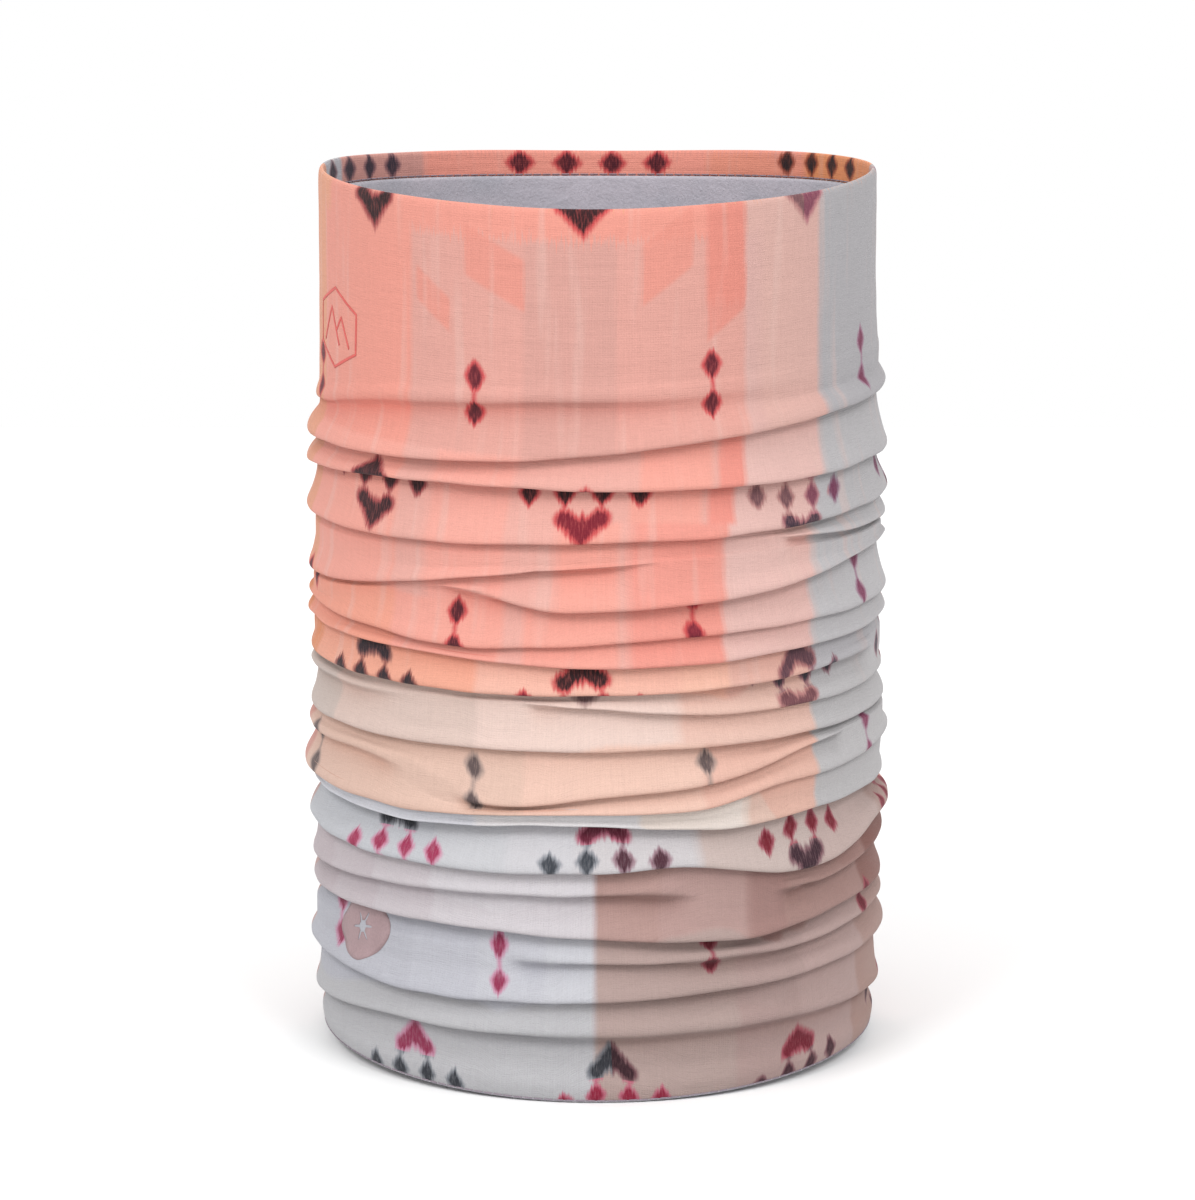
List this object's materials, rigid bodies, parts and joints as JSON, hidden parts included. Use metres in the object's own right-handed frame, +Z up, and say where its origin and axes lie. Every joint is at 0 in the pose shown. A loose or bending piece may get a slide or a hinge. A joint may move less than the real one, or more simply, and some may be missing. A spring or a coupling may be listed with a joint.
{
  "type": "neck gaiter",
  "caption": "Two-layer tubular neck gaiter, printed cloth outside and brushed lining inside, gathered into folds, with its top edge turned in.",
  "frame": {"origin": "middle of the lower edge, on the plane the gaiter stands on", "axes": "+Z up along the tube's axis; -Y is the front; +X is to the right seen from the front"},
  "size_m": [0.1652, 0.1652, 0.248],
  "materials": {
    "printed_jersey": "soft knitted microfibre jersey, printed in a blurred woven-look pattern",
    "brushed_lining": "brushed grey knit with a short matt nap",
    "seam_thread": "fine dark grey polyester sewing thread",
    "mark_film": "thin heat-pressed coral red film, satin",
    "badge_film": "thin heat-pressed mauve brown film, satin"
  },
  "bodies": {
    "root": {"outer_shell": "printed_jersey", "lining": "brushed_lining", "top_seam_needle_thread": "seam_thread", "top_seam_looper_thread": "seam_thread", "bottom_seam_needle_thread": "seam_thread", "bottom_seam_looper_thread": "seam_thread", "shell_side_seam_thread": "seam_thread", "lining_side_seam_thread": "seam_thread", "upper_mark": "mark_film", "lower_badge": "badge_film"}
  },
  "joints": []
}
